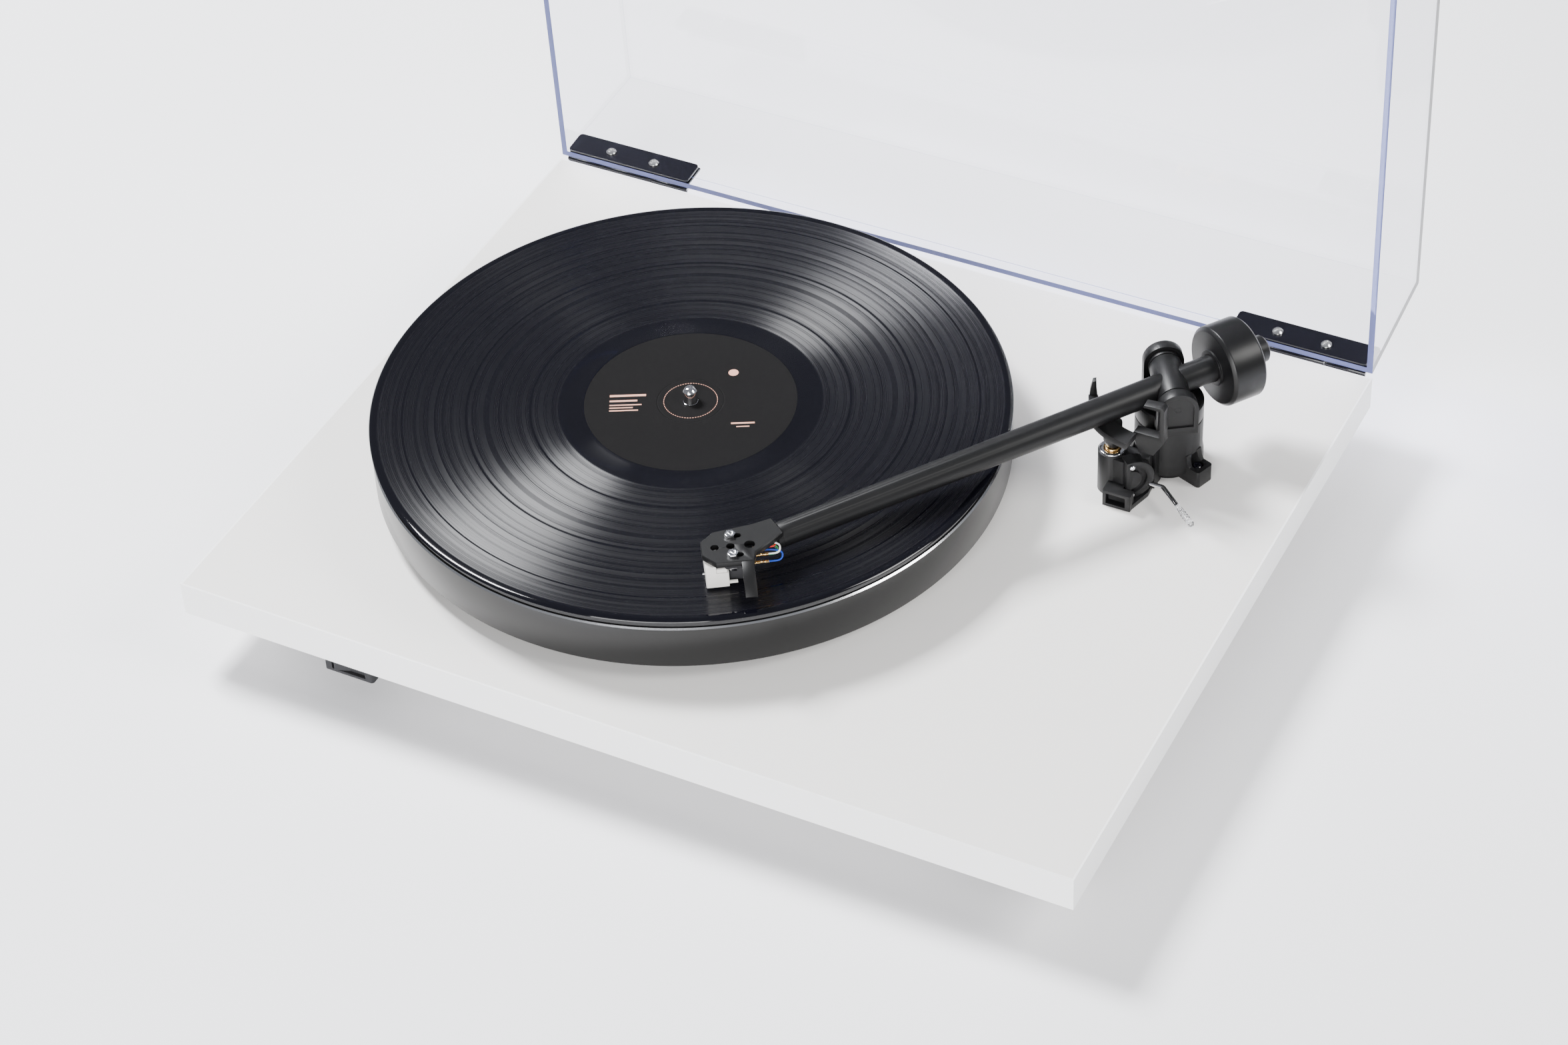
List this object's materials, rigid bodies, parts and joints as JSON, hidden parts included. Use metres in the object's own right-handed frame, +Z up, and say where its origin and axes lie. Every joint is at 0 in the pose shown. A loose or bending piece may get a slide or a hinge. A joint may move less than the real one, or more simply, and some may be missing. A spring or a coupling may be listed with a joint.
{
  "type": "record player",
  "caption": "Belt-driven record player: white board plinth on round feet, platter with a record, straight gimballed tonearm with lift, and a hinged clear lid standing open.",
  "frame": {"origin": "on the ground under the middle of the player's box, lid open", "axes": "+X to the player's right, +Y to its back, +Z up"},
  "size_m": [0.447, 0.4308, 0.4091],
  "materials": {
    "core_board": "matt",
    "white_laminate": "satin",
    "edge_white": "satin",
    "foot_rubber": "matt",
    "zinc_screw": "bright",
    "bearing_brass": "polished",
    "steel": "ground",
    "black_plastic": "satin",
    "black_metal": "satin",
    "platter_metal": "black satin",
    "felt": "felt",
    "vinyl": "pressed grooves",
    "label_paper": "matt print",
    "belt_rubber": "ground",
    "pulley_metal": "turned",
    "circuit_board": "lacquered",
    "gold_plate": "plated",
    "clear_lid": "polished clear",
    "chrome": "plated",
    "arm_metal": "black satin",
    "arm_plastic": "satin",
    "weight_metal": "black satin",
    "cartridge_plastic": "satin",
    "stylus_plastic": "satin",
    "clear_grip": "clear",
    "wire_red": "satin",
    "wire_green": "satin",
    "wire_white": "satin",
    "wire_blue": "satin"
  },
  "bodies": {
    "plinth": {"plinth_core": "core_board", "plinth_top_skin": "white_laminate", "plinth_base_skin": "white_laminate", "edge_band": "edge_white", "feet": "foot_rubber", "underside_screws": "zinc_screw", "bearing_housing": "bearing_brass", "housing_nuts": "zinc_screw", "bearing_ball": "steel", "motor_can": "steel", "motor_cup": "black_plastic", "drive_belt": "belt_rubber", "phono_case": "black_plastic", "phono_board": "circuit_board", "phono_sockets": "gold_plate", "power_socket": "black_plastic", "switch_case": "black_plastic", "hinge_brackets": "black_metal", "hinge_bracket_screws": "chrome", "hinge_pins": "steel", "arm_base": "arm_plastic", "arm_base_screws": "black_metal", "lift_body": "arm_plastic", "lift_bezel": "chrome", "lift_bush": "bearing_brass", "lift_cam_cover": "arm_plastic", "lift_cover_screws": "chrome", "arm_rest_clip": "arm_plastic"},
    "platter": {"sub_platter": "black_plastic", "spindle": "steel", "platter": "platter_metal", "platter_mat": "felt", "record": "vinyl", "record_label": "label_paper"},
    "rotor": {"motor_shaft": "steel", "drive_pulley": "pulley_metal"},
    "lid": {"dust_cover": "clear_lid", "hinge_leaves": "black_metal", "hinge_plates": "black_metal", "hinge_plate_screws": "chrome"},
    "arm_yaw_body": {"arm_yoke": "arm_plastic", "yoke_pins": "steel"},
    "arm": {"bearing_crosspiece": "arm_metal", "arm_tube": "arm_metal", "arm_stub": "arm_metal", "headshell": "arm_metal", "cartridge_body": "cartridge_plastic", "stylus_unit": "stylus_plastic", "cantilever": "pulley_metal", "cartridge_screws": "black_metal", "lead_clips": "gold_plate", "lead_red": "wire_red", "lead_green": "wire_green", "lead_white": "wire_white", "lead_blue": "wire_blue"},
    "weight": {"counterweight": "weight_metal"},
    "lever": {"lift_lever": "chrome", "lever_grip": "clear_grip"},
    "platform": {"lift_platform": "arm_plastic"},
    "rocker": {"power_rocker": "black_plastic"}
  },
  "joints": [
    {"name": "platter_spin", "type": "hinge", "parent": "plinth", "child": "platter", "pos_m": [-0.0473, -0.04041, 0.0665], "axis": [0, 0, 1], "continuous": true},
    {"name": "motor_spin", "type": "hinge", "parent": "plinth", "child": "rotor", "pos_m": [-0.11326, 0.05379, 0.0465], "axis": [0, 0, 1], "continuous": true},
    {"name": "lid_hinge", "type": "hinge", "parent": "plinth", "child": "lid", "pos_m": [0, 0.14583, 0.04725], "axis": [1, 0, 0], "range_deg": [0, 87.8]},
    {"name": "arm_yaw", "type": "hinge", "parent": "plinth", "child": "arm_yaw_body", "pos_m": [0.157, 0.04888, 0.0665], "axis": [0, 0, 1], "range_deg": [-18.3, 35.2]},
    {"name": "arm_pitch", "type": "hinge", "parent": "arm_yaw_body", "child": "arm", "pos_m": [0.157, 0.04888, 0.0935], "axis": [-0.5446, 0.8387, 0], "range_deg": [0, 2.6]},
    {"name": "counterweight_slide", "type": "slide", "parent": "arm", "child": "weight", "axis": [0.5764, 0.8171, 0], "range_m": [-0.004, 0.006]},
    {"name": "lift_lever_turn", "type": "hinge", "parent": "plinth", "child": "lever", "pos_m": [0.158, 0.02209, 0.0545], "axis": [-1, 0, 0], "range_deg": [0, 75.5]},
    {"name": "lift_rise", "type": "slide", "parent": "plinth", "child": "platform", "axis": [0, 0, 1], "range_m": [0, 0.00156]},
    {"name": "rocker_turn", "type": "hinge", "parent": "plinth", "child": "rocker", "pos_m": [-0.14, -0.20392, 0.022], "axis": [0, 0, -1], "range_deg": [0, 16]}
  ],
  "couplings": [
    {"joint": "motor_spin", "follows": "platter_spin", "ratio": 15},
    {"joint": "lift_lever_turn", "follows": "arm_pitch", "ratio": 28.84},
    {"joint": "lift_rise", "follows": "arm_pitch", "m_per_rad": 0.03416}
  ]
}
